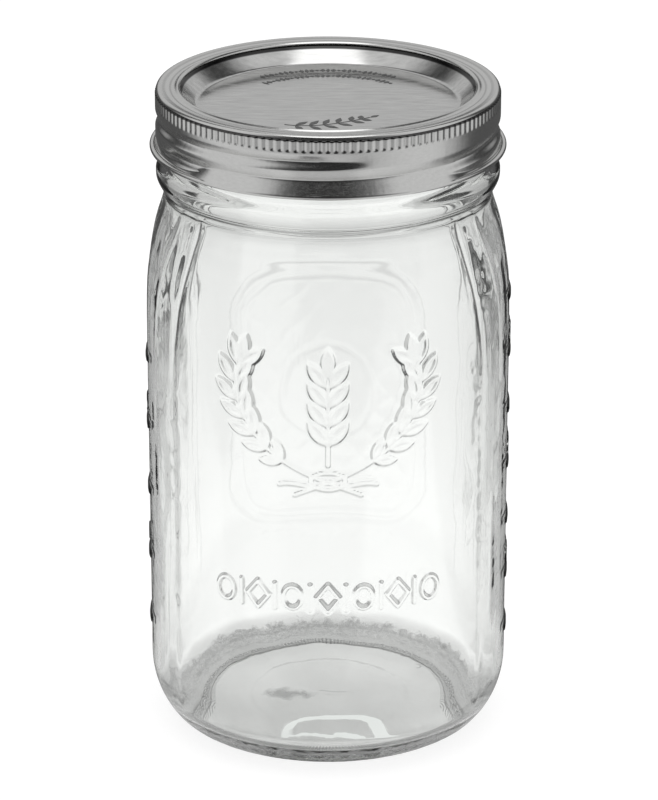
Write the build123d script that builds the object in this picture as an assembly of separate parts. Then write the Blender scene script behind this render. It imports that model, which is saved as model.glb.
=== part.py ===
from build123d import *
import math
import os

# Wide-mouth glass storage jar with a two-piece metal closure.
# Millimetres, +Z up, origin at the middle of the base, front towards -Y.

# ---------------------------------------------------------------- sizes
H_TOTAL = 175.0        # base to the top of the closure

# glass body
R_FACE = 47.4          # half width across the four flat-looking faces
CROWN_FRONT = 1.6      # how far the front and back faces' crown axes are set back from Z
CROWN_SIDE = 4.6       # the same for the two side faces
R_CORNER = 48.8        # largest radius, at the corners between the faces
WALL = 2.8             # side wall
Z_HEEL = 17.5          # top of the rounded heel
HEEL_IN = 13.0         # how far the heel pulls in
R_BEAR_OUT = 35.2      # bearing ring on the base
R_BEAR_IN = 33.0
PUSH_UP = 1.3          # height of the flat hollow under the base
BASE_T = 3.2           # glass at the middle of the base
Z_HEEL_IN = 14.0       # top of the rounding inside
HEEL_PULL_IN = 10.8
Z_SHOULDER = 122.6     # where the straight sides end
Z_NOTCH = 147.9        # pinch under the neck bead
R_NOTCH = 42.4

# neck and sealing finish
R_BEAD = 44.4
Z_BEAD_LO = 151.0
Z_BEAD_HI = 153.9
R_FINISH = 41.7        # thread root
R_MOUTH = 38.0         # bore of the mouth
Z_RIM = 173.4          # top of the sealing rim
R_THREAD = 43.5        # glass thread crest
LEAD = 5.08            # rise per turn, glass and band alike (5 threads per inch)
THREAD_GAP = 1.8       # glass thread sits this far above the band's rolled thread

# graduation bars on the two side faces: every 100 ml on the right, every half cup on the left
GRAD_RIGHT = (25.3, 41.0, 56.7, 72.4, 88.1, 103.8, 119.5)
GRAD_LEFT = (27.9, 46.5, 65.1, 83.7, 102.3)
GRAD_H = 0.5
GRAD_L = 15.0
GRAD_T = 1.6

# lid disc, pressed tinplate
R_DISC = 42.6
R_RIM_IN = 38.35       # inner edge of the flat rim channel
R_PANEL = 34.1         # sunken middle panel
Z_DISC = 174.25        # top of the rim channel
Z_PANEL = 170.0
T_DISC = 0.25
SKIRT = 0.95           # turned-down edge of the disc

# sealing compound ring under the rim channel
R_SEAL_IN = 38.9
R_SEAL_OUT = 41.8
Z_SEAL = 173.45

# screw band, rolled tinplate
R_OPEN = 37.9          # opening of the band
R_BAND = 44.4          # over the flutes
T_BAND = 0.28
FLUTES = 140
FLUTE_D = 0.34
Z_FLUTE_HI = 173.8
Z_FLUTE_LO = 170.6
R_GROOVE = 43.15       # bottom of the rolled thread groove, outside
Z_GROOVE = 168.3       # groove height at the front, upper turn
GROOVE_START = 15.0    # angle from the front where the groove begins, to the right
GROOVE_END = -440.0    # and where it runs out
R_CURL = 45.95         # outside of the curled lower edge
CURL_R = 0.66
Z_BAND_LO = 158.8

# ---------------------------------------------------------------- helpers


def lathe(points):
    """Solid of revolution about Z from (r, z) corners."""
    kept = [points[0]]
    for p in points[1:]:
        if math.dist(p, kept[-1]) > 1e-4:
            kept.append(p)
    face = make_face(Polyline(*[(r, 0, z) for r, z in kept], close=True).edges())
    return revolve(face, Axis.Z, 360)


def curve_points(pts, n):
    """Smooth curve through (r, z) points, sampled finely."""
    spl = Spline(*[(r, 0, z) for r, z in pts])
    out = []
    for i in range(n + 1):
        p = spl @ (i / n)
        out.append((p.X, p.Z))
    return out


def heel(r_top, z_top, pull, z_low, n=14):
    """Quarter-ellipse heel from the base up to the straight side."""
    out = []
    for i in range(n + 1):
        a = math.pi / 2 * i / n
        out.append((r_top - pull + pull * math.sin(a), z_top - (z_top - z_low) * math.cos(a)))
    return out


def faced(points):
    """The profile turned four times about axes set back from Z, and their common solid.
    Points on the axis and beyond the jar stay where they are."""
    result = None
    for k in range(4):
        offset = CROWN_SIDE if k % 2 == 0 else CROWN_FRONT
        tall = lathe([(r + offset if 0 < r < 59 else r, z) for r, z in points])
        a = math.radians(90 * k)
        one = Pos(-offset * math.cos(a), -offset * math.sin(a), 0) * Rot(0, 0, 90 * k) * tall
        result = one if result is None else result & one
    return result


def helix_ridge(r0, r1, w0, w1, z_front, start, end):
    """Helical ridge of trapezoid section. Angles run from the front (-Y), positive to the right.
    It starts at the angle 'end' (its low end) and climbs to 'start'."""
    turns = (start - end) / 360.0
    z_low = z_front + LEAD * end / 360.0
    path = Helix(pitch=LEAD, height=LEAD * turns, radius=(r0 + r1) / 2)
    section = Plane.XZ * Polyline((r0, w0), (r1, w1), (r1, -w1), (r0, -w0), close=True)
    ridge = sweep(make_face(section.edges()), path=path, is_frenet=True)
    return Pos(0, 0, z_low) * Rot(0, 0, -90 + end) * ridge


# ---------------------------------------------------------------- glass jar
# shoulder of the crowned faces (half width against height), and of the rounder corners
face_shoulder = [
    (R_FACE, Z_SHOULDER - 10), (47.15, Z_SHOULDER), (46.44, 129.1), (45.4, 135.6),
    (44.4, 140.0), (43.6, 143.0), (43.3, 146.0),
]
corner_shoulder = [
    (R_CORNER, 112.0), (48.3, 121.0), (47.65, 126.0), (46.95, 130.0), (45.9, 135.0),
    (44.7, 140.0), (43.5, 144.0), (42.6, 146.4), (R_NOTCH, Z_NOTCH),
]
neck = [
    (R_NOTCH + 0.3, 148.6), (43.3, 149.6), (43.9, 150.5), (R_BEAD - 0.1, Z_BEAD_LO + 0.3), (R_BEAD, Z_BEAD_LO + 1.0),
    (R_BEAD, Z_BEAD_HI - 0.7), (R_BEAD - 0.25, Z_BEAD_HI), (43.3, 155.0), (R_FINISH + 0.35, 155.8),
    (R_FINISH, 156.6),
]
rim = [
    (R_FINISH, Z_RIM - 1.5), (R_FINISH - 0.25, Z_RIM - 0.75), (R_FINISH - 0.85, Z_RIM - 0.2),
    (R_FINISH - 1.5, Z_RIM), (R_MOUTH + 1.3, Z_RIM), (R_MOUTH + 0.55, Z_RIM - 0.3),
    (R_MOUTH + 0.1, Z_RIM - 1.0), (R_MOUTH, Z_RIM - 1.9),
]

outer_face = (
    [(0, 0)]
    + heel(R_FACE, Z_HEEL, HEEL_IN, 0)
    + curve_points(face_shoulder, 14)
    + [(60.0, Z_NOTCH), (60.0, H_TOTAL), (0, H_TOTAL)]
)
outer_round = (
    [(0, 0)]
    + heel(R_CORNER, Z_HEEL, R_CORNER - R_BEAR_OUT, 0)
    + curve_points(corner_shoulder, 14)
    + neck
    + rim[:4]
    + [(0, Z_RIM)]
)
jar_outer = lathe(outer_round) & faced(outer_face)

# hollow: same faced form one wall further in, then the straight mouth
R_IN_FACE = R_FACE - WALL
R_IN_CORNER = R_CORNER - WALL
Z_FLOOR = PUSH_UP + BASE_T
inner_face = (
    [(0, Z_FLOOR)]
    + heel(R_IN_FACE, Z_HEEL_IN, HEEL_PULL_IN, Z_FLOOR)
    + [(r - WALL, z) for r, z in curve_points(face_shoulder, 14)]
    + [(60.0, Z_NOTCH + 0.5), (60.0, H_TOTAL + 2), (0, H_TOTAL + 2)]
)
inner_round = (
    [(0, Z_FLOOR), (R_IN_CORNER - HEEL_PULL_IN - 0.5, Z_FLOOR)]
    + heel(R_IN_CORNER, Z_HEEL_IN, HEEL_PULL_IN + 0.5, Z_FLOOR)[1:]
    + [(R_IN_CORNER, 112.0), (45.7, 121.0), (44.8, 128.5), (43.3, 135.3), (41.4, 141.0),
       (39.7, 145.2), (38.6, 148.0), (R_MOUTH + 0.12, 150.0), (R_MOUTH, 151.5),
       (R_MOUTH, Z_RIM + 2), (0, Z_RIM + 2)]
)
hollow = lathe(inner_round) & faced(inner_face)
glass = jar_outer - hollow

# softened inner lip of the rim
lip = lathe([(R_MOUTH - 0.5, Z_RIM + 0.5), (R_MOUTH + 1.3, Z_RIM + 0.5)] + rim[4:] + [(R_MOUTH - 0.5, Z_RIM - 1.9)])
glass = glass - lip

# hollow under the base, inside the bearing ring
glass = glass - lathe([
    (0, -1), (R_BEAR_IN, -1), (R_BEAR_IN, 0), (R_BEAR_IN - 0.4, 0.2), (R_BEAR_IN - 1.4, 0.62),
    (R_BEAR_IN - 2.6, PUSH_UP - 0.28), (R_BEAR_IN - 4.0, PUSH_UP - 0.04), (R_BEAR_IN - 5.0, PUSH_UP), (0, PUSH_UP),
])

# graduation bars stand proud of the side faces
proud = faced([(r + GRAD_H, z) if 0 < r < 59 else (r, z) for r, z in outer_face])
bars = None
for side, heights in ((1, GRAD_RIGHT), (-1, GRAD_LEFT)):
    for z in heights:
        bar = Pos(side * (R_FACE - 0.6), 0, z) * Box(4.0, GRAD_L, GRAD_T)
        bars = bar if bars is None else bars + bar
glass = glass + (bars & proud)

# thread on the finish, just above the band's rolled thread
thread = helix_ridge(R_FINISH - 0.3, R_THREAD, 1.85, 0.45, Z_GROOVE + THREAD_GAP - LEAD, 330.0, -95.0)
glass = glass + thread

# ---------------------------------------------------------------- lid disc
disc_top = [
    (0, Z_PANEL), (R_PANEL - 0.5, Z_PANEL), (R_PANEL, Z_PANEL + 0.12), (R_PANEL + 0.4, Z_PANEL + 0.42),
    (R_RIM_IN - 0.55, Z_DISC - 0.42), (R_RIM_IN - 0.1, Z_DISC - 0.1), (R_RIM_IN + 0.4, Z_DISC),
    (R_DISC - 0.7, Z_DISC), (R_DISC - 0.22, Z_DISC - 0.18), (R_DISC, Z_DISC - 0.6),
    (R_DISC, Z_DISC - SKIRT),
]
disc_low = [
    (R_DISC - T_DISC, Z_DISC - SKIRT), (R_DISC - T_DISC, Z_DISC - 0.62), (R_DISC - 0.45, Z_DISC - 0.35),
    (R_DISC - 0.8, Z_DISC - T_DISC), (R_RIM_IN + 0.5, Z_DISC - T_DISC),
    (R_RIM_IN + 0.1, Z_DISC - T_DISC - 0.1), (R_RIM_IN - 0.35, Z_DISC - T_DISC - 0.35),
    (R_PANEL + 0.5, Z_PANEL + 0.15), (R_PANEL + 0.05, Z_PANEL - 0.16), (R_PANEL - 0.5, Z_PANEL - T_DISC),
    (0, Z_PANEL - T_DISC),
]
lid_disc = lathe(disc_top + disc_low)

# ---------------------------------------------------------------- sealing compound ring
seal_top = Z_DISC - T_DISC
seal_ring = lathe([
    (R_SEAL_IN, seal_top), (R_SEAL_IN, Z_SEAL + 0.3), (R_SEAL_IN + 0.3, Z_SEAL),
    (R_SEAL_OUT - 0.3, Z_SEAL), (R_SEAL_OUT, Z_SEAL + 0.3), (R_SEAL_OUT, seal_top),
])

# ---------------------------------------------------------------- screw band
T = T_BAND
r_wall = R_BAND - FLUTE_D / 2 - 0.05
# top flange with a hemmed opening edge and a rounded outer corner
flange = lathe([
    (R_OPEN, 174.72), (R_OPEN + 0.12, 174.9), (R_OPEN + 0.45, H_TOTAL), (R_OPEN + 0.95, 174.89),
    (R_OPEN + 1.5, 174.66), (R_OPEN + 2.0, 174.61), (42.7, 174.87), (43.35, H_TOTAL),
    (43.75, 174.93), (44.08, 174.66), (44.2, 174.3), (44.02, 173.95), (r_wall, Z_FLUTE_HI),
    (r_wall, Z_FLUTE_HI - 0.25), (r_wall - T, Z_FLUTE_HI - 0.25), (r_wall - T, 173.95),
    (43.7, 174.25), (43.4, 174.5), (42.9, 174.58), (R_OPEN + 2.0, 174.33), (R_OPEN + 0.75, 174.33),
    (R_OPEN + 0.45, 174.24), (R_OPEN + 0.15, 174.18), (R_OPEN, 174.32),
])


def star(r_out, depth, n):
    pts = []
    for i in range(n):
        a = 2 * math.pi * i / n
        w = 2 * math.pi / n
        pts += [
            (r_out * math.cos(a - 0.2 * w), r_out * math.sin(a - 0.2 * w)),
            (r_out * math.cos(a + 0.2 * w), r_out * math.sin(a + 0.2 * w)),
            ((r_out - depth) * math.cos(a + 0.42 * w), (r_out - depth) * math.sin(a + 0.42 * w)),
            ((r_out - depth) * math.cos(a + 0.58 * w), (r_out - depth) * math.sin(a + 0.58 * w)),
        ]
    return make_face(Polyline(*pts, close=True).edges())


# fluted grip: the sheet itself is waved, so the inside follows the outside
flutes = extrude(star(R_BAND, FLUTE_D, FLUTES), Z_FLUTE_HI - Z_FLUTE_LO) - extrude(
    star(R_BAND - T - 0.06, FLUTE_D, FLUTES), Z_FLUTE_HI - Z_FLUTE_LO
)
flutes = Pos(0, 0, Z_FLUTE_LO) * flutes

# threaded wall, flaring into the curled lower edge
r_out = R_BAND
r_mid = r_wall
wall = lathe([
    (r_mid, Z_FLUTE_LO + 0.25), (r_mid, Z_FLUTE_LO - 0.1), (r_out - 0.1, Z_FLUTE_LO - 0.6), (r_out, 169.5),
    (r_out, 161.6), (r_out + 0.45, 160.2), (R_CURL - CURL_R, 159.75),
    (R_CURL - CURL_R, 159.35), (r_out + 0.25, 159.95), (r_out - T, 161.4),
    (r_out - T, 169.5), (r_out - T - 0.1, Z_FLUTE_LO - 0.5), (r_mid - T, Z_FLUTE_LO - 0.1), (r_mid - T, Z_FLUTE_LO + 0.25),
])
curl = Pos(0, 0, Z_BAND_LO + CURL_R) * Torus(R_CURL - CURL_R, CURL_R)
band = flange + flutes + wall + curl
inner_ridge = helix_ridge(R_GROOVE - T, R_BAND - 0.12, 0.5, 2.0, Z_GROOVE, GROOVE_START, GROOVE_END)
outer_groove = helix_ridge(R_GROOVE, R_BAND + 0.25, 0.3, 1.9, Z_GROOVE, GROOVE_START - 1.5, GROOVE_END + 1.5)
band = (band + inner_ridge) - outer_groove

# ---------------------------------------------------------------- files
os.makedirs("parts", exist_ok=True)
nodes = {
    "glass_jar": glass,
    "lid_disc": lid_disc,
    "seal_ring": seal_ring,
    "screw_band": band,
}
for name, shape in nodes.items():
    solids = shape.solids()
    print(name, "solids", len(solids), "volume_cm3", round(shape.volume / 1000, 2))
    export_step(shape if len(solids) > 1 else solids[0], "parts/" + name + ".step")
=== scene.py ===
import bpy
import math
import numpy as np
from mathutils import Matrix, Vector


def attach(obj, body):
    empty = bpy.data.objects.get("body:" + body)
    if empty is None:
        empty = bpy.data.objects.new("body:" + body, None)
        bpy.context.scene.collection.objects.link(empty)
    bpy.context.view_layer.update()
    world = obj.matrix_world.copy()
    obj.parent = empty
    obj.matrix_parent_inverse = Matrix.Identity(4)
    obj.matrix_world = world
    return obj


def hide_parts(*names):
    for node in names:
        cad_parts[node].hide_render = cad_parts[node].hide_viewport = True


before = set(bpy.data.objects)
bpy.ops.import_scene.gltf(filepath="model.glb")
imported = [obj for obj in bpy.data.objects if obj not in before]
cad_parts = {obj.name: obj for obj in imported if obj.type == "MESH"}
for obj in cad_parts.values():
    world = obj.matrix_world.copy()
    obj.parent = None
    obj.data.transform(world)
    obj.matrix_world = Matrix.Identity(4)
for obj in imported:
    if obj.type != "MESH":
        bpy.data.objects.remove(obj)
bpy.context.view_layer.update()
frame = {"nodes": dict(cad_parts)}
scene = bpy.context.scene
MM = 0.001

# =====================================================================
# camera
# =====================================================================
cam_data = bpy.data.cameras.new("camera")
cam = bpy.data.objects.new("camera", cam_data)
scene.collection.objects.link(cam)
cam_data.lens = 183.2
cam_data.sensor_width = 36.0
cam_data.sensor_fit = "AUTO"
cam_data.clip_start = 0.05
cam_data.clip_end = 30.0
cam.location = (0.00025, -1.0, 0.4811)
cam.rotation_euler = (math.radians(90.0 - 21.46), 0.0, 0.0)
scene.camera = cam
scene.view_settings.view_transform = "Standard"
scene.view_settings.look = "None"
scene.view_settings.exposure = 0.0
scene.view_settings.gamma = 1.0


# =====================================================================
# number helpers
# =====================================================================
def smooth(x, lo, hi):
    t = np.clip((x - lo) / (hi - lo), 0.0, 1.0)
    return t * t * (3.0 - 2.0 * t)


def smin(a, b, k):
    h = np.clip(0.5 + 0.5 * (b - a) / k, 0.0, 1.0)
    return b + (a - b) * h - k * h * (1.0 - h)


class Noise:
    """Smooth lattice noise in two directions, periodic in the first one."""

    def __init__(self, seed, nu, nv):
        self.grid = np.random.RandomState(seed).uniform(-1.0, 1.0, (nu, nv))

    def __call__(self, u, v):
        nu, nv = self.grid.shape
        u, v = np.broadcast_arrays(u, v)
        iu = np.floor(u).astype(int)
        iv = np.floor(v).astype(int)
        fu = u - iu
        fv = v - iv
        fu = fu * fu * (3 - 2 * fu)
        fv = fv * fv * (3 - 2 * fv)
        g = self.grid
        a = g[iu % nu, iv % nv]
        b = g[(iu + 1) % nu, iv % nv]
        c = g[iu % nu, (iv + 1) % nv]
        d = g[(iu + 1) % nu, (iv + 1) % nv]
        return (a * (1 - fu) + b * fu) * (1 - fv) + (c * (1 - fu) + d * fu) * fv


def flat_noise(noise, r, phi, cell):
    """Noise over a flat round part, in cells of the given size."""
    a = np.radians(phi)
    return noise(r * np.sin(a) / cell + 100.0, -r * np.cos(a) / cell + 100.0)


# =====================================================================
# ring surfaces: a list of rings, each a list of angles with r and z
# =====================================================================
class Rings:
    """Closed surface of stacked rings about Z. Angles run from the front, positive to the right."""

    def __init__(self):
        self.verts = []
        self.count = 0
        self.rings = []
        self.faces4 = []
        self.faces3 = []

    def ring(self, phi, r, z):
        phi = np.asarray(phi, float)
        r = np.broadcast_to(np.asarray(r, float), phi.shape)
        z = np.broadcast_to(np.asarray(z, float), phi.shape)
        a = np.radians(phi)
        self.verts.append(np.stack([r * np.sin(a), -r * np.cos(a), z], 1))
        idx = np.arange(self.count, self.count + len(phi))
        self.count += len(phi)
        self.rings.append((phi, idx))
        return len(self.rings) - 1

    def pole(self, z):
        self.verts.append(np.array([[0.0, 0.0, z]]))
        self.count += 1
        return self.count - 1

    def join(self, a, b):
        pa, ia = self.rings[a]
        pb, ib = self.rings[b]
        if len(ia) == len(ib):
            self.faces4.append(np.stack([ia, np.roll(ia, -1), np.roll(ib, -1), ib], 1))
            return
        na, nb = len(ia), len(ib)
        pa2 = np.concatenate([pa, [pa[0] + 360.0]])
        pb2 = np.concatenate([pb, [pb[0] + 360.0]])
        i = j = 0
        tris = []
        while i < na or j < nb:
            if j >= nb or (i < na and pa2[i + 1] <= pb2[j + 1]):
                tris.append((ia[i], ia[(i + 1) % na], ib[j % nb]))
                i += 1
            else:
                tris.append((ia[i % na], ib[(j + 1) % nb], ib[j]))
                j += 1
        self.faces3.append(np.array(tris))

    def cap(self, pole, a, start):
        _, ia = self.rings[a]
        p = np.full(len(ia), pole)
        if start:
            self.faces3.append(np.stack([p, np.roll(ia, -1), ia], 1))
        else:
            self.faces3.append(np.stack([p, ia, np.roll(ia, -1)], 1))

    def build(self, name, flip=False):
        v = np.concatenate(self.verts) * MM
        f4 = np.concatenate(self.faces4) if self.faces4 else np.zeros((0, 4), int)
        f3 = np.concatenate(self.faces3) if self.faces3 else np.zeros((0, 3), int)
        if flip:
            f4 = f4[:, ::-1]
            f3 = f3[:, ::-1]
        return mesh_object(name, v, f4, f3)


def mesh_object(name, v, f4, f3, smooth_shade=True):
    me = bpy.data.meshes.new(name)
    n4, n3 = len(f4), len(f3)
    me.vertices.add(len(v))
    me.vertices.foreach_set("co", np.asarray(v, np.float32).ravel())
    me.loops.add(n4 * 4 + n3 * 3)
    me.loops.foreach_set("vertex_index", np.concatenate([np.asarray(f4).ravel(), np.asarray(f3).ravel()]).astype(np.int32))
    me.polygons.add(n4 + n3)
    starts = np.concatenate([np.arange(n4) * 4, n4 * 4 + np.arange(n3) * 3]).astype(np.int32)
    totals = np.concatenate([np.full(n4, 4), np.full(n3, 3)]).astype(np.int32)
    me.polygons.foreach_set("loop_start", starts)
    me.polygons.foreach_set("loop_total", totals)
    me.update(calc_edges=True)
    me.validate()
    me.polygons.foreach_set("use_smooth", np.full(n4 + n3, smooth_shade))
    me.update()
    obj = bpy.data.objects.new(name, me)
    scene.collection.objects.link(obj)
    return obj


# =====================================================================
# relief drawing on the glass: distance fields in millimetres
# =====================================================================
def seg_dist(u, v, pts, closed=False):
    pts = np.asarray(pts, float)
    if closed:
        pts = np.concatenate([pts, pts[:1]])
    best = np.full(np.shape(u), 1e9)
    for (x0, y0), (x1, y1) in zip(pts[:-1], pts[1:]):
        dx, dy = x1 - x0, y1 - y0
        ll = dx * dx + dy * dy + 1e-12
        t = np.clip(((u - x0) * dx + (v - y0) * dy) / ll, 0, 1)
        best = np.minimum(best, (u - x0 - t * dx) ** 2 + (v - y0 - t * dy) ** 2)
    return np.sqrt(best)


def leaf_depth(u, v, cx, cy, ang, length, width):
    """Positive inside a pointed leaf."""
    c, s = math.cos(ang), math.sin(ang)
    p = (u - cx) * c + (v - cy) * s
    q = -(u - cx) * s + (v - cy) * c
    rv = (length * length + width * width) / (4 * width)
    dv = rv - width / 2
    return rv - np.sqrt(p * p + (np.abs(q) + dv) ** 2)


def bez(p0, p1, p2, p3, n=24):
    t = np.linspace(0, 1, n)[:, None]
    p0, p1, p2, p3 = (np.asarray(p, float) for p in (p0, p1, p2, p3))
    return (1 - t) ** 3 * p0 + 3 * (1 - t) ** 2 * t * p1 + 3 * (1 - t) * t * t * p2 + t ** 3 * p3


def arc(cx, cy, rx, ry, a0, a1, n=14):
    a = np.radians(np.linspace(a0, a1, n))
    return np.stack([cx + rx * np.cos(a), cy + ry * np.sin(a)], 1)


def front_relief(u, v):
    """Two curved ears of grain and a short upright one over crossed stems."""
    h = np.zeros(np.shape(u))
    flank = 0.54

    def raise_to(depth, height):
        np.maximum(h, height * smooth(depth, -flank / 2, flank / 2), out=h)

    def stroke(pts, width, height, closed=False):
        raise_to(width / 2 - seg_dist(u, v, pts, closed), height)

    v0 = 100.8
    for side in (-1, 1):
        stem = bez((-side * 8.5, v0 - 20.3), (side * 2.0, v0 - 15.5), (side * 15.0, v0 - 12.5), (side * 21.5, v0 - 1.0), 20)
        ear = bez((side * 21.5, v0 - 1.0), (side * 24.5, v0 + 4.5), (side * 25.2, v0 + 9.5), (side * 23.0, v0 + 14.5), 14)
        path = np.concatenate([stem, ear[1:]])
        stroke(path, 1.15, 0.50)
        seg = np.diff(path, axis=0)
        s = np.concatenate([[0], np.cumsum(np.hypot(seg[:, 0], seg[:, 1]))])
        total = s[-1]
        for k in range(7):
            at = total - 1.6 - k * 4.9
            if at < 8:
                break
            x = np.interp(at, s, path[:, 0])
            y = np.interp(at, s, path[:, 1])
            x2 = np.interp(at + 0.8, s, path[:, 0])
            y2 = np.interp(at + 0.8, s, path[:, 1])
            a = math.atan2(y2 - y, x2 - x)
            size = (1.0, 1.0, 1.0, 0.97, 0.93, 0.86, 0.76)[k]
            for lr in (-1, 1):
                aa = a + lr * math.radians(33)
                ln = 8.6 * size
                cx = x + math.cos(aa) * (ln / 2 + 0.35)
                cy = y + math.sin(aa) * (ln / 2 + 0.35)
                d = leaf_depth(u, v, cx, cy, aa, ln, 3.7 * size)
                raise_to(d, 0.58)
                h -= 0.20 * smooth(d, 0.75, 1.5) * (d > 0.7)
        d = leaf_depth(u, v, path[-1, 0] + math.cos(a) * 0 + side * -0.9, path[-1, 1] + 3.4, math.radians(90 + side * 14), 8.4, 3.7)
        raise_to(d, 0.58)
    # upright ear in the middle
    stroke([(0, v0 - 12.0), (0, v0 + 9.0)], 1.2, 0.50)
    for k in range(4):
        for lr in (-1, 1):
            aa = math.radians(90 - lr * 36)
            cx = math.cos(aa) * 4.6
            cy = v0 - 7.0 + k * 5.2 + math.sin(aa) * 4.6
            d = leaf_depth(u, v, cx, cy, aa, 8.4, 3.6)
            raise_to(d, 0.58)
            h -= 0.20 * smooth(d, 0.75, 1.5) * (d > 0.7)
    raise_to(leaf_depth(u, v, 0, v0 + 15.6, math.radians(90), 8.4, 3.7), 0.58)
    # tie over the crossed stems
    stroke(arc(0, v0 - 16.3, 4.4, 2.3, 0, 350, 22), 1.2, 0.56, True)
    stroke(bez((-1.0, v0 - 16.8), (-3.0, v0 - 19.6), (-8.0, v0 - 16.0), (-12.5, v0 - 17.6), 12), 1.2, 0.5)
    stroke(bez((1.0, v0 - 16.8), (3.0, v0 - 19.6), (8.0, v0 - 16.0), (12.5, v0 - 17.6), 12), 1.2, 0.5)
    return h


def lower_relief(u, v):
    """A row of plain lozenges, beads and bars."""
    h = np.zeros(np.shape(u))
    vc = 52.0
    flank = 0.5

    def stroke(pts, width, height=0.46, closed=False):
        d = width / 2 - seg_dist(u, v, pts, closed)
        np.maximum(h, height * smooth(d, -flank / 2, flank / 2), out=h)

    half = 3.7
    for k in range(-3, 4):
        x = k * 9.2
        if k % 2 == 0:
            stroke([(x - 2.9, vc), (x, vc + half), (x + 2.9, vc), (x, vc - half)], 1.15, closed=True)
        else:
            stroke(arc(x, vc, 2.4, 3.1, 0, 345, 20), 1.15, closed=True)
    for k in range(-3, 3):
        x = (k + 0.5) * 9.2
        stroke([(x, vc - half + 0.3), (x, vc + half - 0.3)], 1.15)
    return h


def back_relief(u, v):
    """A low double-edged panel with a quilted lattice and a plain ring in the middle."""
    h = np.zeros(np.shape(u))
    vc, hw, hh = 73.0, 29.0, 38.0

    def rr(d_in, rad):
        qx = np.abs(u) - (hw - d_in - rad)
        qy = np.abs(v - vc) - (hh - d_in - rad)
        out = np.hypot(np.maximum(qx, 0), np.maximum(qy, 0)) + np.minimum(np.maximum(qx, qy), 0)
        return rad - out

    d0 = rr(0.0, 15.0)
    np.maximum(h, 0.32 * smooth(1.0 - np.abs(d0), -0.7, 0.7), out=h)
    np.maximum(h, 0.22 * smooth(0.8 - np.abs(d0 - 3.6), -0.7, 0.7), out=h)
    inside = smooth(d0, 4.6, 6.0)
    p = 9.4
    a = (u + (v - vc)) / p
    b = (u - (v - vc)) / p
    wave = np.abs(np.sin(math.pi * a)) * np.abs(np.sin(math.pi * b))
    ring = 13.5 - np.hypot(u, v - vc)
    h += inside * 0.16 * np.sqrt(wave + 1e-9) * smooth(-ring, 0.8, 1.8)
    np.maximum(h, 0.30 * smooth(0.9 - np.abs(ring), -0.6, 0.6), out=h)
    np.maximum(h, inside * 0.15 * smooth(ring, 3.0, 9.0), out=h)
    # beads along the foot of the panel
    for k in range(-5, 6):
        d = 1.15 - np.hypot(u - k * 3.6, v - (vc - hh - 4.2))
        np.maximum(h, 0.26 * smooth(d, -0.6, 0.6), out=h)
    return h


DIGITS = {
    "0": [arc(0, 2, 1.15, 1.9, 90, 450, 18)],
    "1": [[(-0.6, 3.2), (0.25, 3.9), (0.25, 0.1)]],
    "2": [np.concatenate([arc(0, 2.85, 1.1, 1.05, 165, -20, 10), [(-1.15, 0.12), (1.25, 0.12)]])],
    "4": [[(0.55, 0.1), (0.55, 3.9), (-1.25, 1.2), (1.35, 1.2)]],
    "6": [arc(0, 1.2, 1.15, 1.1, 0, 360, 16), bez((-1.12, 1.3), (-1.1, 2.8), (-0.3, 3.8), (0.8, 3.9), 8)],
}
GRAD_RIGHT = (25.3, 41.0, 56.7, 72.4, 88.1, 103.8, 119.5)
GRAD_LEFT = (27.9, 46.5, 65.1, 83.7, 102.3)


def side_relief(u, v, side):
    """Measuring bars and plain numbers. u runs to the right as seen from that side."""
    h = np.zeros(np.shape(u))
    flank = 0.42
    heights = GRAD_RIGHT if side > 0 else GRAD_LEFT
    for i, z in enumerate(heights):
        qx = np.abs(u) - 7.5
        qy = np.abs(v - z) - 0.8
        d = -np.maximum(qx, qy)
        np.maximum(h, 0.5 * smooth(d, -flank / 2, flank / 2), out=h)
        text = ""
        if side > 0 and i in (1, 3, 5):
            text = str((i + 1) * 100)
        if side < 0 and i in (1, 3):
            text = str((i + 1) // 2)
        for k, ch in enumerate(text):
            x0 = (k - (len(text) - 1) / 2) * 3.5
            for pts in DIGITS[ch]:
                pts = np.asarray(pts, float) * 1.12 + np.array([x0, z + 2.2])
                d = 0.45 - seg_dist(u, v, pts)
                np.maximum(h, 0.42 * smooth(d, -flank / 2, flank / 2), out=h)
    return h


# =====================================================================
# glass jar
# =====================================================================
Z_HEEL, Z_NOTCH = 17.5, 147.9
RF = np.array([(17.5, 47.4), (112.6, 47.4), (122.6, 47.15), (129.1, 46.44), (135.6, 45.4), (140.0, 44.38),
               (143.0, 43.4), (145.3, 42.72), (147.0, 42.45), (148.2, 42.7), (149.2, 43.5), (150.2, 45.5), (152.0, 52.0)])
RC = np.array([(17.5, 48.8), (112.0, 48.8), (121.0, 48.3), (126.0, 47.65), (130.0, 46.95), (135.0, 45.9),
               (140.0, 44.72), (144.0, 43.7), (147.0, 43.1), (148.4, 43.2), (150.0, 43.6)])
RFI = np.array([(19.0, 44.6), (112.6, 44.6), (122.6, 44.35), (129.1, 43.64), (135.6, 42.6), (140.0, 41.6),
                (144.0, 40.6), (148.0, 41.0), (152.0, 46.0)])
RCI = np.array([(19.0, 46.0), (112.0, 46.0), (121.0, 45.7), (128.5, 44.8), (135.3, 43.3), (141.0, 41.4),
                (145.2, 39.7), (148.0, 38.6), (150.0, 38.12), (151.5, 38.0)])
NECK = ([(z, 42.42 + 1.98 * t * t * (3 - 2 * t)) for z, t in
         [(zz, min(1.0, max(0.0, (zz - 147.0) / 5.2))) for zz in
          (148.8, 149.3, 149.8, 150.3, 150.8, 151.3, 151.8, 152.3)]]
        + [(152.8, 44.4), (153.3, 44.4), (153.7, 44.3), (154.1, 44.06), (154.5, 43.68), (154.9, 43.22), (155.3, 42.72),
           (155.7, 42.26), (156.1, 41.92), (156.4, 41.76), (156.7, 41.7)])


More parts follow.
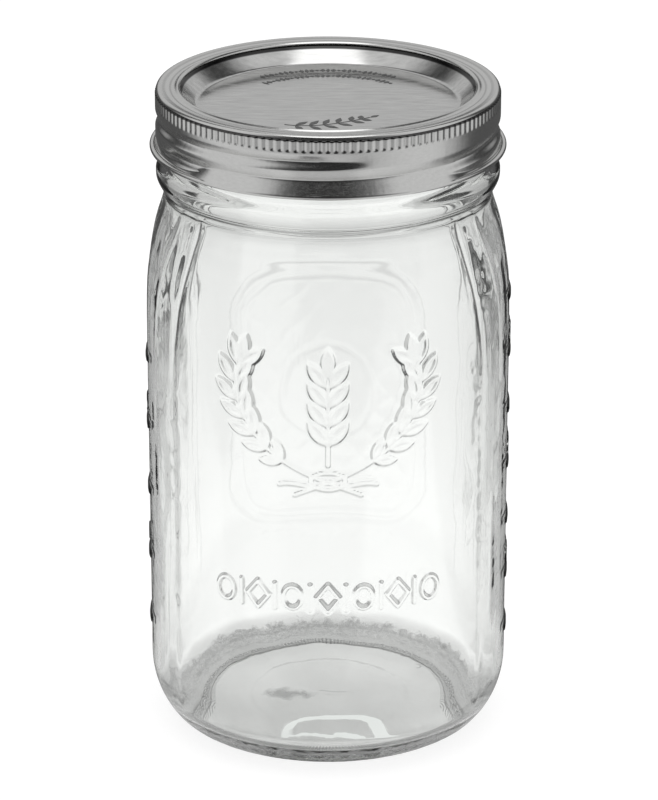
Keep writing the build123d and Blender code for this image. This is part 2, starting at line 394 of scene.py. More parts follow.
def spline_at(table, z):
    """Monotone cubic through the table, flat where the table is flat."""
    x, y = table[:, 0], table[:, 1]
    h = np.diff(x)
    s = np.diff(y) / h
    m = np.zeros(len(x))
    for i in range(1, len(x) - 1):
        if s[i - 1] * s[i] > 0:
            w1 = 2 * h[i] + h[i - 1]
            w2 = h[i] + 2 * h[i - 1]
            m[i] = (w1 + w2) / (w1 / s[i - 1] + w2 / s[i])
    m[0], m[-1] = s[0] if abs(s[0]) > 0 else 0, s[-1]
    z = np.clip(z, x[0], x[-1])
    k = np.clip(np.searchsorted(x, z) - 1, 0, len(x) - 2)
    t = (z - x[k]) / h[k]
    return ((2 * t**3 - 3 * t**2 + 1) * y[k] + (t**3 - 2 * t**2 + t) * h[k] * m[k]
            + (-2 * t**3 + 3 * t**2) * y[k + 1] + (t**3 - t**2) * h[k] * m[k + 1])


S_FRONT, S_SIDE = 1.6, 4.6       # how far the crown axes of the faces are set back


def faced_r(phi, rf, rc, k):
    """Common outline of four crowned faces (half width rf) and the corner column rc."""
    out = None
    for axis, s in ((0, S_FRONT), (90, S_SIDE), (180, S_FRONT), (270, S_SIDE)):
        d = np.radians(phi - axis)
        c = np.cos(d)
        r = -s * c + np.sqrt((rf + s) ** 2 - (s * np.sin(d)) ** 2)
        r = np.where(c > 0.1, r, 90.0)
        out = r if out is None else smin(out, r, k)
    return smin(out, rc, k)


def fine_angles():
    spans = [(-41.5, 41.5, 0.40), (41.5, 79.0, 0.95), (79.0, 101.0, 0.45), (101.0, 138.0, 0.95),
             (138.0, 222.0, 0.56), (222.0, 259.0, 0.95), (259.0, 281.0, 0.45), (281.0, 318.5, 0.95)]
    out = []
    for a, b, st in spans:
        n = int(round((b - a) / st))
        out.append(a + (b - a) * np.arange(n) / n)
    return np.concatenate(out)


PHI = fine_angles()
wave_a = Noise(11, 36, 40)
wave_b = Noise(12, 120, 90)
wave_c = Noise(13, 260, 400)
wave_d = Noise(14, 60, 60)


def body_outer(phi, z):
    rf = spline_at(RF, np.full(1, z))[0]
    rc = spline_at(RC, np.full(1, z))[0]
    if z < Z_HEEL:
        s = math.sin(math.acos(min(1.0, (Z_HEEL - z) / Z_HEEL)))
        rf = 47.4 - 13.0 + 13.0 * s
        rc = 48.8 - 13.6 + 13.6 * s
    k = 0.5 if z < 118 else 0.5 - 0.3 * min(1.0, (z - 118) / 12)
    r = faced_r(phi, rf, rc, k)
    w = (phi + 180.0) % 360.0 - 180.0
    lift = np.zeros_like(phi)
    a = np.abs(w) < 41.4
    if 74 < z < 124:
        lift[a] += front_relief(w[a] * math.pi / 180 * 47.6, np.full(a.sum(), z))
    if 45 < z < 60:
        lift[a] += lower_relief(w[a] * math.pi / 180 * 47.6, np.full(a.sum(), z))
    wb = (phi % 360.0) - 180.0
    b = np.abs(wb) < 41.5
    if 24 < z < 116:
        lift[b] += back_relief(wb[b] * math.pi / 180 * 47.6, np.full(b.sum(), z))
    if 22 < z < 124:
        for side in (1, -1):
            ws = (phi - 90.0 * side + 180.0) % 360.0 - 180.0
            m = np.abs(ws) < 10.8
            lift[m] += side_relief(ws[m] * math.pi / 180 * 47.4, np.full(m.sum(), z), side)
    # slow moulding waves, rougher on the narrow side faces and along the mould edges
    u = (phi % 360.0) / 360.0
    body = smooth(z, 6.0, 22.0) * (1.0 - smooth(z, 132.0, 146.0))
    side_zone = 1.0 - smooth(np.abs(np.abs(w) - 90.0), 20.0, 32.0)
    edge = np.exp(-((np.abs(np.abs(w) - 90.0) - 34.5) / 1.6) ** 2)
    lift += body * 0.02 * wave_a(u * 36, np.full_like(phi, z / 9.0))
    lift += body * side_zone * (0.045 * wave_b(u * 120, np.full_like(phi, z / 15.0))
                                + 0.022 * wave_b(u * 120 + 31, np.full_like(phi, z / 3.0))
                                + 0.012 * wave_c(u * 260, np.full_like(phi, z / 0.9)))
    lift += body * edge * (0.07 * wave_c(u * 30, np.full_like(phi, z / 2.1)) + 0.05)
    # creases where the crowned faces run out into the corner columns
    if 96.0 < z < 148.3:
        aw = np.where(np.abs(w) < 90.0, np.abs(w), 180.0 - np.abs(w))
        fade = float(smooth(z, 98.0, 112.0) * (1.0 - smooth(z, 145.0, 148.2)))
        c1 = float(np.interp(z, [98, 108, 116, 124, 130, 136, 142, 148], [56.6, 55.4, 54.2, 52.6, 50.8, 49.2, 48.2, 47.5]))
        c2 = float(np.interp(z, [98, 118, 133, 142, 148], [73.5, 69.5, 65.0, 61.0, 59.0]))
        d1 = (aw - c1) * 0.82
        d2 = (aw - c2) * 0.82
        lift += fade * (0.13 * np.exp(-(d1 / 0.8) ** 2) - 0.12 * np.exp(-((d1 - 2.4) / 1.6) ** 2) - 0.16 * np.exp(-(d2 / 0.9) ** 2))
    # the stippled heel
    foot = smooth(z, 0.3, 1.2) * (1.0 - smooth(z, 4.0, 7.5))
    lift += foot * (0.05 * wave_b(u * 120, np.full_like(phi, z / 1.4)) + 0.03 * wave_c(u * 260, np.full_like(phi, z / 0.7)))
    return r + lift


def body_inner(phi, z):
    rf = spline_at(RFI, np.full(1, z))[0]
    rc = spline_at(RCI, np.full(1, z))[0]
    if z < 14.0:
        s = math.sin(math.acos(min(1.0, max(0.0, 10.6 - z) / 6.1)))
        rf = 44.6 - 6.4 + 6.4 * s
        rc = 46.0 - 7.1 + 7.1 * s
    r = faced_r(phi, rf, rc, 1.6)
    u = (phi % 360.0) / 360.0
    body = smooth(z, 12.0, 26.0) * (1.0 - smooth(z, 134.0, 147.0))
    w = (phi + 180.0) % 360.0 - 180.0
    flank = 1.0 - smooth(np.abs(np.abs(w) - 90.0), 26.0, 44.0)
    lift = body * (0.05 * wave_a(u * 36 + 7, np.full_like(phi, z / 26.0 + 3)) + 0.03 * wave_d(u * 60, np.full_like(phi, z / 11.0)))
    lift += body * flank * 0.085 * wave_b(u * 72 + 5, np.full_like(phi, z / 24.0))
    return r + lift


def finish_outer(phi, z):
    """Straight finish with its helical thread."""
    r = np.full_like(phi, 41.7)
    w = (phi + 180.0) % 360.0 - 180.0
    for turn in (-1, 0, 1):
        a = w + 360.0 * turn
        zc = 165.02 + 5.08 * a / 360.0
        ends = smooth(a, -95.0, -83.0) * (1.0 - smooth(a, 318.0, 330.0))
        ends = np.where((a >= -95.0) & (a <= 330.0), ends, 0.0)
        d = np.abs(z - zc)
        r = np.maximum(r, 41.7 + 1.8 * ends * (1.0 - smooth(d, 0.35, 1.75)))
    return r


def make_glass():
    g = Rings()
    # underside: hollow with a faint step, then the stippled bearing ring
    n_base = 720
    pb = np.arange(n_base) * 360.0 / n_base - 41.5
    u = (pb % 360.0) / 360.0
    rings = []
    pole = g.pole(0.85)
    for r in np.concatenate([np.linspace(1.0, 18.0, 20), np.linspace(18.5, 24.0, 24), np.linspace(24.4, 32.0, 18), [32.16, 32.26, 32.3, 32.38, 32.42, 32.5]]):
        z = 0.85 - 0.67 * smooth(r, 32.28, 32.4)
        z += 0.075 * (1 - smooth(r, 20.2, 21.8))
        x0, y0 = r * np.sin(np.radians(pb)), -r * np.cos(np.radians(pb))
        # a press mark left of the middle and a faint ring in front
        z = z + 0.10 * np.exp(-(((x0 + 11.5) / 5.6) ** 2 + ((y0 + 1.2 - 0.12 * (x0 + 11.5)) / 3.2) ** 2))
        ring = np.hypot(x0 - 1.2, (y0 + 23.0) / 0.64)
        z = z + 0.03 * np.exp(-((ring - 12.2) / 1.6) ** 2)
        z = z + 0.05 * flat_noise(wave_a, r, pb, 8.0) + 0.012 * flat_noise(wave_b, r, pb, 2.4)
        rings.append(g.ring(pb, r, z))
    for r, z, tick in [(32.8, 0.19, 0), (32.98, 0.2, 0), (33.15, 0.24, 0), (33.3, 0.25, 0), (33.42, 0.25, 1), (33.8, 0.25, 1),
                       (33.95, 0.25, 0), (34.12, 0.25, 0), (34.25, 0.25, 2), (34.7, 0.25, 2), (34.85, 0.3, 0), (35.0, 0.40, 0)]:
        zz = np.full_like(pb, z)
        if tick:
            ph = (pb / 3.0 + (0.5 if tick == 2 else 0.0)) % 1.0
            zz = np.where(np.abs(ph - 0.5) < 0.2, 0.0, z)
        rings.append(g.ring(pb, r, zz))
    g.cap(pole, rings[0], True)
    for a, b in zip(rings[:-1], rings[1:]):
        g.join(a, b)
    last = rings[-1]
    # heel, body and shoulder
    zs = list(Z_HEEL - Z_HEEL * np.cos(np.radians(np.linspace(12.5, 86.0, 22))))
    zs += list(np.linspace(17.5, 24.0, 8))
    zs += list(np.linspace(24.35, 45.0, 42))
    zs += list(np.linspace(45.35, 59.0, 42))
    zs += list(np.linspace(59.5, 77.0, 36))
    zs += list(np.linspace(77.4, 124.4, 126))
    zs += list(np.linspace(125.0, 148.4, 46))
    for z in zs:
        cur = g.ring(PHI, body_outer(PHI, z), z)
        g.join(last, cur)
        last = cur
    # neck bead, finish and rim on an even ring
    pn = np.arange(480) * 0.75 - 41.5
    for z, r in NECK:
        cur = g.ring(pn, r, z)
        g.join(last, cur)
        last = cur
    for z in np.linspace(156.9, 171.9, 76):
        cur = g.ring(pn, finish_outer(pn, z), z)
        g.join(last, cur)
        last = cur
    for r, z in [(41.64, 172.3), (41.45, 172.65), (41.2, 172.95), (40.85, 173.2), (40.5, 173.34), (40.2, 173.4), (39.75, 173.4),
                 (39.3, 173.4), (38.95, 173.3), (38.55, 173.1), (38.28, 172.8), (38.1, 172.4), (38.02, 171.9), (38.0, 171.5)]:
        cur = g.ring(pn, r, z)
        g.join(last, cur)
        last = cur
    pi = np.arange(320) * 1.125 - 41.5
    for z in (168.0, 163.0, 158.0, 154.5, 152.0):
        cur = g.ring(pi, 38.0, z)
        g.join(last, cur)
        last = cur
    zi = list(np.linspace(151.0, 112.0, 60)) + list(np.linspace(110.5, 24.0, 66)) + list(np.linspace(22.8, 10.9, 12))
    zi += list(10.6 - 6.1 * np.cos(np.radians(np.linspace(88.0, 6.0, 28))))
    for z in zi:
        cur = g.ring(pi, body_inner(pi, z), z)
        g.join(last, cur)
        last = cur
    for r in np.linspace(38.2, 2.0, 39):
        z = 4.5 + 0.12 * (1 - (r / 38.6) ** 2) + 0.05 * flat_noise(wave_d, r, pi, 9.0) * (1 - smooth(r, 28, 33))
        cur = g.ring(pi, r, z)
        g.join(last, cur)
        last = cur
    g.cap(g.pole(4.62), last, False)
    return g.build("jar_glass")


glass = make_glass()
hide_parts("glass_jar")
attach(glass, "jar")


# =====================================================================
# screw band: one sheet, hem, flutes, rolled thread and curled foot
# =====================================================================
def band_groove(phi, z):
    w = (phi + 180.0) % 360.0 - 180.0
    depth = np.zeros_like(phi)
    for turn in (-1, 0, 1):
        a = w + 360.0 * turn
        zc = 168.3 + 5.08 * a / 360.0
        ends = smooth(a, -440.0, -420.0) * (1.0 - smooth(a, -6.0, 17.0))
        ends = np.where((a >= -440.0) & (a <= 17.0), ends, 0.0)
        up = 2.1 + 0.75 * smooth(-a, 90.0, 300.0)
        d = np.where(z > zc, (z - zc) / up, (zc - z) / 2.35)
        soft = 0.5 * (1.0 + np.cos(math.pi * np.minimum(d, 1.0)))
        # a flank that is nearly straight, rounded at its foot and at its edge
        straight = 0.5 * (0.93 - d + np.sqrt((0.93 - d) ** 2 + 0.012))
        straight = np.minimum(straight, 1.0 - 0.5 * np.exp(-d / 0.12) * 0.14)
        straight = np.where(d < 1.25, np.maximum(straight - 0.009, 0.0), 0.0)
        k = 1.0 * (z > zc)
        depth = np.maximum(depth, ends * (soft * (1.0 - k) + straight * k))
    return 1.2 * np.minimum(depth, 1.0)


def make_band():
    g = Rings()
    n = 1400
    po = np.arange(n) * 360.0 / n
    pi = np.arange(560) * 360.0 / 560
    u = po / 360.0
    ripple = Noise(21, 90, 30)
    grain = Noise(22, 420, 40)
    rings = []

    def out(r, z, phi=po):
        rings.append(g.ring(phi, r, z))

    top = [(37.94, 174.3), (37.9, 174.4), (37.93, 174.52), (38.03, 174.63), (38.17, 174.745), (38.31, 174.86), (38.44, 174.945),
           (38.58, 174.99), (38.7, 174.985), (38.8, 174.94), (38.92, 174.865), (39.05, 174.775), (39.18, 174.68), (39.3, 174.6),
           (39.42, 174.545), (39.58, 174.52)]
    flange = [(39.58, 174.52), (40.2, 174.53), (40.8, 174.565), (41.4, 174.62), (42.0, 174.69), (42.5, 174.765), (42.8, 174.82)]
    for r in np.linspace(39.75, 42.75, 31):
        z = np.interp(r, [p[0] for p in flange], [p[1] for p in flange])
        z += 0.020 * math.exp(-((r - 40.55) / 0.17) ** 2) - 0.020 * math.exp(-((r - 41.75) / 0.2) ** 2)
        top.append((float(r), float(z)))
    top += [(42.95, 174.85), (43.15, 174.885), (43.3, 174.895), (43.44, 174.875), (43.58, 174.825), (43.72, 174.745),
            (43.85, 174.64), (43.97, 174.51), (44.07, 174.36), (44.14, 174.19), (44.17, 174.03), (44.14, 173.93), (44.05, 173.88)]
    dent = Noise(23, 40, 20)
    for r, z in top:
        flat = smooth(r, 39.8, 40.6) * (1 - smooth(r, 42.4, 43.0))
        out(r, z + flat * 0.010 * dent(u * 40, np.full_like(po, r / 1.5)))

    def flute(phi):
        ph = (phi / 360.0 * 140.0) % 1.0
        t = np.abs(ph - 0.5) * 2.0          # 0 on the crest, 1 in the gap
        return 1.0 - smooth(t, 0.15, 1.0)

    fo = flute(po)
    for z, k in [(173.86, 0.0), (173.78, 0.35), (173.66, 0.75), (173.5, 0.95), (173.3, 1.0), (172.8, 1.0), (172.2, 1.0), (171.6, 1.0)]:
        out(44.02 + (0.14 + 0.24 * fo) * k, z)
    for z, k in [(171.3, 1.0), (171.08, 0.88), (170.9, 0.62), (170.75, 0.32), (170.6, 0.08), (170.45, 0.0)]:
        out(44.40 - 0.24 * (1.0 - fo) * k - band_groove(po, z), z)
    for z in np.concatenate([np.linspace(170.25, 161.7, 44), np.linspace(161.5, 159.95, 10)]):
        ww = (po + 180.0) % 360.0 - 180.0
        flare = 1.0 - smooth(np.abs(ww), 40.0, 60.0)
        cone = 45.80 - 0.765 * (z - 159.87)
        cone = flare * cone + (1.0 - flare) * (44.88 - 1.7 * (z - 159.95))
        wall = 44.4 - band_groove(po, z)
        rr = 0.5 * (cone + wall + np.sqrt((cone - wall) ** 2 + 0.02))
        rr = rr + 0.016 * ripple(u * 90, np.full_like(po, z / 3.0)) + 0.004 * grain(u * 420, np.full_like(po, z / 2.0))
        # fine upright puckers to the right of the front
        zone = np.exp(-((ww - 34.0) / 14.0) ** 2) + 0.5 * np.exp(-((ww + 50.0) / 16.0) ** 2)
        out(rr + 0.010 * zone * grain(u * 420 + 77, np.full_like(po, z / 6.0)), z)
    flare = 1.0 - smooth(np.abs((po + 180.0) % 360.0 - 180.0), 40.0, 60.0)
    first = 36.0 * flare + 132.0 * (1.0 - flare)
    for k in np.linspace(0.0, 1.0, 32):
        rad = np.radians(first + (-195.0 - first) * k)
        out(45.29 + 0.66 * np.cos(rad), 159.46 + 0.66 * np.sin(rad))
    # inside of the sheet
    for r, z in [(44.6, 159.85), (44.42, 160.3), (44.26, 160.8), (44.14, 161.3)]:
        out(r, z, pi)
    for z in np.linspace(161.7, 169.5, 30):
        out(44.12 - band_groove(pi, z), z, pi)
    out(43.98, 170.0, pi)
    out(43.82, 170.5, pi)
    fi = flute(pi)
    for z, k in [(170.9, 0.8), (172.2, 1.0), (173.4, 0.8)]:
        out(43.76 + k * 0.30 * fi, z, pi)
    for r, z in [(43.78, 173.85), (43.72, 174.15), (43.55, 174.42), (43.3, 174.54), (42.7, 174.5), (41.4, 174.4), (40.1, 174.31),
                 (39.5, 174.3), (39.0, 174.3), (38.65, 174.3), (38.4, 174.24), (38.25, 174.19), (38.12, 174.17), (38.0, 174.2)]:
        out(r, z, pi)
    for a, b in zip(rings, rings[1:] + rings[:1]):
        g.join(a, b)
    return g.build("closure_band", flip=True)


band = make_band()
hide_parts("screw_band")
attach(band, "band")


# =====================================================================
# lid disc
# =====================================================================
def make_disc():
    g = Rings()
    n = 420
    p = np.arange(n) * 360.0 / n
    u = p / 360.0
    sheet = Noise(31, 24, 14)
    rings = []
    pole = g.pole(170.0)
    for r in np.concatenate([np.linspace(1.2, 32.6, 40)]):
        w = 0.03 * flat_noise(sheet, r, p, 9.0) * (1 - smooth(r, 29, 32.5))
        rings.append(g.ring(p, r, 170.0 + w))
    for r, z in [(33.2, 170.0), (33.65, 170.02), (34.0, 170.1), (34.3, 170.28), (34.55, 170.5), (35.2, 171.12), (36.0, 171.9),
                 (36.8, 172.68), (37.5, 173.38), (37.82, 173.7), (38.05, 173.9), (38.25, 174.06), (38.48, 174.18), (38.75, 174.25),
                 (39.3, 174.26), (40.6, 174.26), (41.7, 174.26), (41.98, 174.24), (42.25, 174.14), (42.45, 173.97),
                 (42.57, 173.75), (42.6, 173.5), (42.6, 173.32), (42.5, 173.27), (42.38, 173.32), (42.34, 173.55), (42.25, 173.78),
                 (42.1, 173.92), (41.8, 174.0), (40.0, 174.0), (38.85, 174.0), (38.6, 173.93), (38.3, 173.75), (37.6, 173.08),
                 (36.0, 171.5), (34.8, 170.32), (34.45, 170.0), (34.1, 169.82), (33.6, 169.75), (30.0, 169.75), (15.0, 169.75), (2.0, 169.75)]:
        rings.append(g.ring(p, r, z))
    # the path runs outward over the top and back underneath
    for a, b in zip(rings[:-1], rings[1:]):
        g.join(a, b)
    g.cap(pole, rings[0], True)
    g.cap(g.pole(169.75), rings[-1], False)
    return g.build("closure_disc", flip=True)


disc = make_disc()
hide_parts("lid_disc")
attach(disc, "lid")


# dark print on the sunken panel: a sprig in front, two bowed rows of small marks behind
def make_print():
    sheet = Noise(31, 24, 14)
    verts, tris = [], []

    def height(x, y):
        r = math.hypot(x, y)
        w = float(flat_noise(sheet, np.array([r]), np.array([math.degrees(math.atan2(x, -y))]), 9.0)[0])
        return 170.045 + 0.03 * w * (1 - float(smooth(r, 29, 32.5)))

    def blob(pts):
        cx = sum(p[0] for p in pts) / len(pts)
        cy = sum(p[1] for p in pts) / len(pts)
        base = len(verts)
        verts.append((cx, cy, height(cx, cy)))
        for x, y in pts:
            verts.append((x, y, height(x, y)))
        n = len(pts)
        for i in range(n):
            tris.append((base, base + 1 + i, base + 1 + (i + 1) % n))

    def leaf(x, y, ang, length, width):
        c, s_ = math.cos(ang), math.sin(ang)
        pts = []
        for k in range(16):
            a = 2 * math.pi * k / 16
            u_ = math.cos(a)
            v_ = math.sin(a) * math.sqrt(max(0.0, 1 - abs(u_))) * 0.9
            pts.append((x + (u_ * length / 2) * c - v_ * width / 2 * s_, y + (u_ * length / 2) * s_ + v_ * width / 2 * c))
        blob(pts)

    # sprig: a bowed stem with paired leaves
    stem = bez((-11.0, -18.6), (-4.0, -21.8), (4.0, -17.0), (10.6, -12.6), 26)
    for (x0, y0), (x1, y1) in zip(stem[:-1], stem[1:]):
        dx, dy = x1 - x0, y1 - y0
        ll = math.hypot(dx, dy)
        nx, ny = -dy / ll * 0.22, dx / ll * 0.22
        blob([(x0 + nx, y0 + ny), (x0 - nx, y0 - ny), (x1 - nx, y1 - ny), (x1 + nx, y1 + ny)])
    for k, i in enumerate((3, 7, 11, 15, 19, 22)):
        x0, y0 = stem[i]
        x1, y1 = stem[i + 1]
        a = math.atan2(y1 - y0, x1 - x0)
        ln = (4.4, 4.8, 4.8, 4.4, 3.8, 3.0)[k]
        for lr in (-1, 1):
            aa = a + lr * math.radians(52)
            leaf(x0 + math.cos(aa) * ln * 0.55, y0 + math.sin(aa) * ln * 0.55, aa, ln, 1.9)
    leaf(stem[-1][0] + 1.2, stem[-1][1] + 0.9, math.radians(38), 3.0, 1.5)
    # bowed rows of marks behind
    for rad_, half_a, n_, kind in ((28.4, 37.0, 27, 0), (23.4, 44.0, 27, 1)):
        for k in range(n_):
            a = math.radians(-half_a + 2 * half_a * k / (n_ - 1))
            x, y = rad_ * math.sin(a), rad_ * math.cos(a)
            if (k + kind) % 4 == 3:
                leaf(x, y, -a, 1.2, 1.3)
            else:
                ca, sa = math.cos(-a), math.sin(-a)
                wd, ht = (0.58, 1.6) if (k + kind) % 2 else (0.78, 1.2)
                blob([(x + (px * ca - py * sa), y + (px * sa + py * ca)) for px, py in ((wd, 0), (0, ht), (-wd, 0), (0, -ht))])
    return mesh_object("disc_print", np.array(verts) * MM, np.zeros((0, 4), int), np.array(tris))


disc_print = make_print()
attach(disc_print, "lid")


# =====================================================================
# node helpers
# =====================================================================
class Sock:
    """Arithmetic on node sockets."""

    def __init__(self, tree, sock):
        self.tree, self.sock = tree, sock

    def _op(self, op, *others, clamp=False):
        n = self.tree.nodes.new("ShaderNodeMath")
        n.operation = op
        n.use_clamp = clamp
        self.tree.links.new(self.sock, n.inputs[0])
        for i, o in enumerate(others, 1):
            if isinstance(o, Sock):
                self.tree.links.new(o.sock, n.inputs[i])
            else:
                n.inputs[i].default_value = float(o)
        return Sock(self.tree, n.outputs[0])

    def __add__(self, o): return self._op("ADD", o)
    def __radd__(self, o): return self._op("ADD", o)
    def __sub__(self, o): return self._op("SUBTRACT", o)
    def __mul__(self, o): return self._op("MULTIPLY", o)
    def __rmul__(self, o): return self._op("MULTIPLY", o)
    def __truediv__(self, o): return self._op("DIVIDE", o)
    def __rsub__(self, o): return (self * -1.0) + o
    def abs(self): return self._op("ABSOLUTE")
    def sqrt(self): return self._op("SQRT")
    def max(self, o): return self._op("MAXIMUM", o)
    def min(self, o): return self._op("MINIMUM", o)
    def atan2(self, o): return self._op("ARCTAN2", o)
    def asin(self): return self._op("ARCSINE")
    def cos(self): return self._op("COSINE")

    def ramp(self, lo, hi, a=0.0, b=1.0, kind="SMOOTHSTEP"):
        n = self.tree.nodes.new("ShaderNodeMapRange")
        n.interpolation_type = kind
        self.tree.links.new(self.sock, n.inputs[0])
        for i, x in enumerate((lo, hi, a, b), 1):
            n.inputs[i].default_value = x
        return Sock(self.tree, n.outputs[0])


def node(tree, kind, **props):
    n = tree.nodes.new(kind)
    for k, v in props.items():
        setattr(n, k, v)
    return n


def mix_value(tree, fac, a, b):
    """a where fac is 0, b where fac is 1."""
    if not isinstance(a, Sock):
        return fac * b + (1.0 - fac) * a if isinstance(b, Sock) else fac * (b - a) + a
    return a + fac * (b - a)


def wedge(az, centre, half, soft):
    """1 inside a sector of the compass, 0 outside. az in degrees."""
    t = az - centre
    n = t.tree.nodes.new("ShaderNodeMath")
    n.operation = "WRAP"
    t.tree.links.new(t.sock, n.inputs[0])
    n.inputs[1].default_value = 180.0
    n.inputs[2].default_value = -180.0
    d = Sock(t.tree, n.outputs[0]).abs()
    return d.ramp(half - soft / 2, half + soft / 2, 1.0, 0.0)


# =====================================================================
# stage: floor, lights and the light of the room
# =====================================================================
# compass angles here run from the front (-Y), positive towards +X
LANES = ((180.0, 1.0), (225.0, 0.62), (270.0, 0.58), (135.0, 0.60), (45.0, 0.9))     # bright lanes and their strength


def lanes_sky(az, half, soft):
    out = None
    for a0, gain in LANES:
        w = wedge(az, a0, half, soft) * gain
        out = w if out is None else out.max(w)
    return out


def lanes_floor(x, y):
    out = None
    for a0, gain in LANES:
        r = math.radians(a0)
        dx, dy = math.sin(r), -math.cos(r)
        along = x * dx + y * dy
        side = (x * dy - y * dx).abs()
        edge = side - along * 0.17 - 0.053
        w = (edge / (along * 0.085 + 0.006).max(0.006)).ramp(-0.5, 0.5, 1.0, 0.0)
        w = w * along.ramp(-0.02, 0.02) * gain
        out = w if out is None else out.max(w)
    return out


world = bpy.data.worlds.new("room")
scene.world = world
world.use_nodes = True
wt = world.node_tree
wt.nodes.clear()
tc = node(wt, "ShaderNodeTexCoord")
sep = node(wt, "ShaderNodeSeparateXYZ")
wt.links.new(tc.outputs["Generated"], sep.inputs[0])
wx, wy, wz = (Sock(wt, sep.outputs[i]) for i in range(3))
waz = wx.atan2(wy * -1.0) * (180.0 / math.pi)
wel = wz.asin() * (180.0 / math.pi)
lp = node(wt, "ShaderNodeLightPath")
is_cam = Sock(wt, lp.outputs["Is Camera Ray"])
is_glossy = Sock(wt, lp.outputs["Is Glossy Ray"])
is_trans = Sock(wt, lp.outputs["Is Transmission Ray"])

# what mirror-like surfaces see: a dark front, soft boxes to the sides, a grey back and a bright ceiling
side_w = wedge(waz, 77.0, 31.0, 24.0).max(wedge(waz, -79.0, 33.0, 24.0))
back_w = wedge(waz, 180.0, 44.0, 16.0)
g_back = mix_value(wt, back_w, 0.05, wel.ramp(3.0, 15.0, 0.05, 0.53))
g_dark = mix_value(wt, wedge(waz, -3.0, 27.0, 26.0), 0.13, 0.02)
g_sky = mix_value(wt, side_w, mix_value(wt, wedge(waz, -3.0, 60.0, 10.0), g_back, g_dark), 0.63)
# the ceiling leans to the front
lean = (wz * math.cos(math.radians(6.0)) - wy * math.sin(math.radians(6.0))).asin() * (180.0 / math.pi)
g_sky = g_sky.max(lean.ramp(67.0, 75.0, 0.0, 1.5))
# what is seen through the glass
lane = lanes_sky(waz, 14.5, 12.0)
t_in = wel.ramp(0.5, 5.0, 0.80, 0.52) + wel.ramp(13.0, 18.0, 0.0, 0.42)
t_low = mix_value(wt, lane, 0.06, t_in)
t_sky = t_low.max(wel.ramp(38.0, 62.0, 0.10, 0.95))
val = mix_value(wt, is_trans, mix_value(wt, is_glossy, 0.85, g_sky), t_sky)
val = mix_value(wt, is_cam, val, 1.05)
bg = node(wt, "ShaderNodeBackground")
wt.links.new(val.sock, bg.inputs["Strength"])
bg.inputs["Color"].default_value = (1.0, 1.0, 1.0, 1.0)
wo = node(wt, "ShaderNodeOutputWorld")
wt.links.new(bg.outputs[0], wo.inputs[0])


def disc_mesh(name, radius, z, n=96):
    v = [(0, 0, z)] + [(radius * math.cos(2 * math.pi * i / n), radius * math.sin(2 * math.pi * i / n), z) for i in range(n)]
    f3 = [(0, i + 1, (i + 1) % n + 1) for i in range(n)]
    return mesh_object(name, np.array(v), np.zeros((0, 4), int), np.array(f3), smooth_shade=False)


floor = disc_mesh("floor", 9.0, -0.00002)
fm = bpy.data.materials.new("floor_pale")
fm.use_nodes = True
ft = fm.node_tree
ft.nodes.clear()
geo = node(ft, "ShaderNodeNewGeometry")
fs = node(ft, "ShaderNodeSeparateXYZ")
ft.links.new(geo.outputs["Position"], fs.inputs[0])
fx, fy = Sock(ft, fs.outputs[0]), Sock(ft, fs.outputs[1])
frad = (fx * fx + fy * fy).sqrt()
faz = fx.atan2(fy * -1.0) * (180.0 / math.pi)
flp = node(ft, "ShaderNodeLightPath")
f_cam = Sock(ft, flp.outputs["Is Camera Ray"])
f_glossy = Sock(ft, flp.outputs["Is Glossy Ray"])
f_trans = Sock(ft, flp.outputs["Is Transmission Ray"])
# through the glass: bright lanes, dark between them, and a grey painted shadow under the jar
f_lane = lanes_floor(fx, fy)
far = (frad.ramp(0.12, 0.30, 1.13, 1.03) - frad.ramp(0.30, 0.60, 0.0, 0.17)) - frad.ramp(0.60, 1.5, 0.0, 0.10)
t_floor = mix_value(ft, f_lane, 0.07, far).max(frad.ramp(0.082, 0.125, 0.96, 0.0))
# painted shadow under the jar, seen through the glass: grey, darker to the front and a little uneven
ftc = node(ft, "ShaderNodeTexCoord")
fnz = node(ft, "ShaderNodeTexNoise")
fnz.inputs["Scale"].default_value = 55.0
fnz.inputs["Detail"].default_value = 3.0
ft.links.new(ftc.outputs["Object"], fnz.inputs["Vector"])
uneven = Sock(ft, fnz.outputs["Fac"]).ramp(0.3, 0.7, -0.05, 0.05, "LINEAR")
under = fy.ramp(-0.016, 0.021, 0.50, 0.72, "LINEAR") - frad.ramp(0.024, 0.034, 0.0, 0.05) + uneven
# painted light: the front edge of that shadow is a little lighter
under = under + fy.ramp(-0.0205, -0.0185, 0.13, 0.0) * frad.ramp(0.031, 0.034, 1.0, 0.0)
# painted shadow: a grey halo around the base, reaching further behind the jar
reach = frad - fy.ramp(-0.024, -0.004, 0.0, 0.0125)
t_floor = mix_value(ft, (reach + uneven * 0.05).ramp(0.0355, 0.0385), under, mix_value(ft, reach.ramp(0.037, 0.052), 0.80, t_floor))
# in the metal: light in front and to the sides, dark at the back
g_front = mix_value(ft, frad.ramp(0.22, 0.42), 0.66, 0.50)
g_front = mix_value(ft, frad.ramp(0.60, 1.60), g_front, 0.12)
g_mid = frad.ramp(0.086, 0.108, 0.10, 0.78) - frad.ramp(0.14, 0.22, 0.0, 0.04)
g_front = g_front * mix_value(ft, wedge(faz, -2.0, 24.0, 14.0), 1.0, g_mid)
g_side = 0.63
f_side = wedge(faz, 64.0, 26.0, 38.0).max(wedge(faz, -68.0, 26.0, 38.0))
f_back = 0.085 + wedge(faz, 180.0, 8.0, 26.0) * 0.13
f_front = wedge(faz, 0.0, 60.0, 30.0)
g_floor = mix_value(ft, f_side, mix_value(ft, f_front, f_back, g_front), g_side)
e = mix_value(ft, f_trans, mix_value(ft, f_glossy, 0.62, g_floor), t_floor)
em = node(ft, "ShaderNodeEmission")
ft.links.new(mix_value(ft, f_cam, e, 0.84).sock, em.inputs["Strength"])
dif = node(ft, "ShaderNodeBsdfDiffuse")
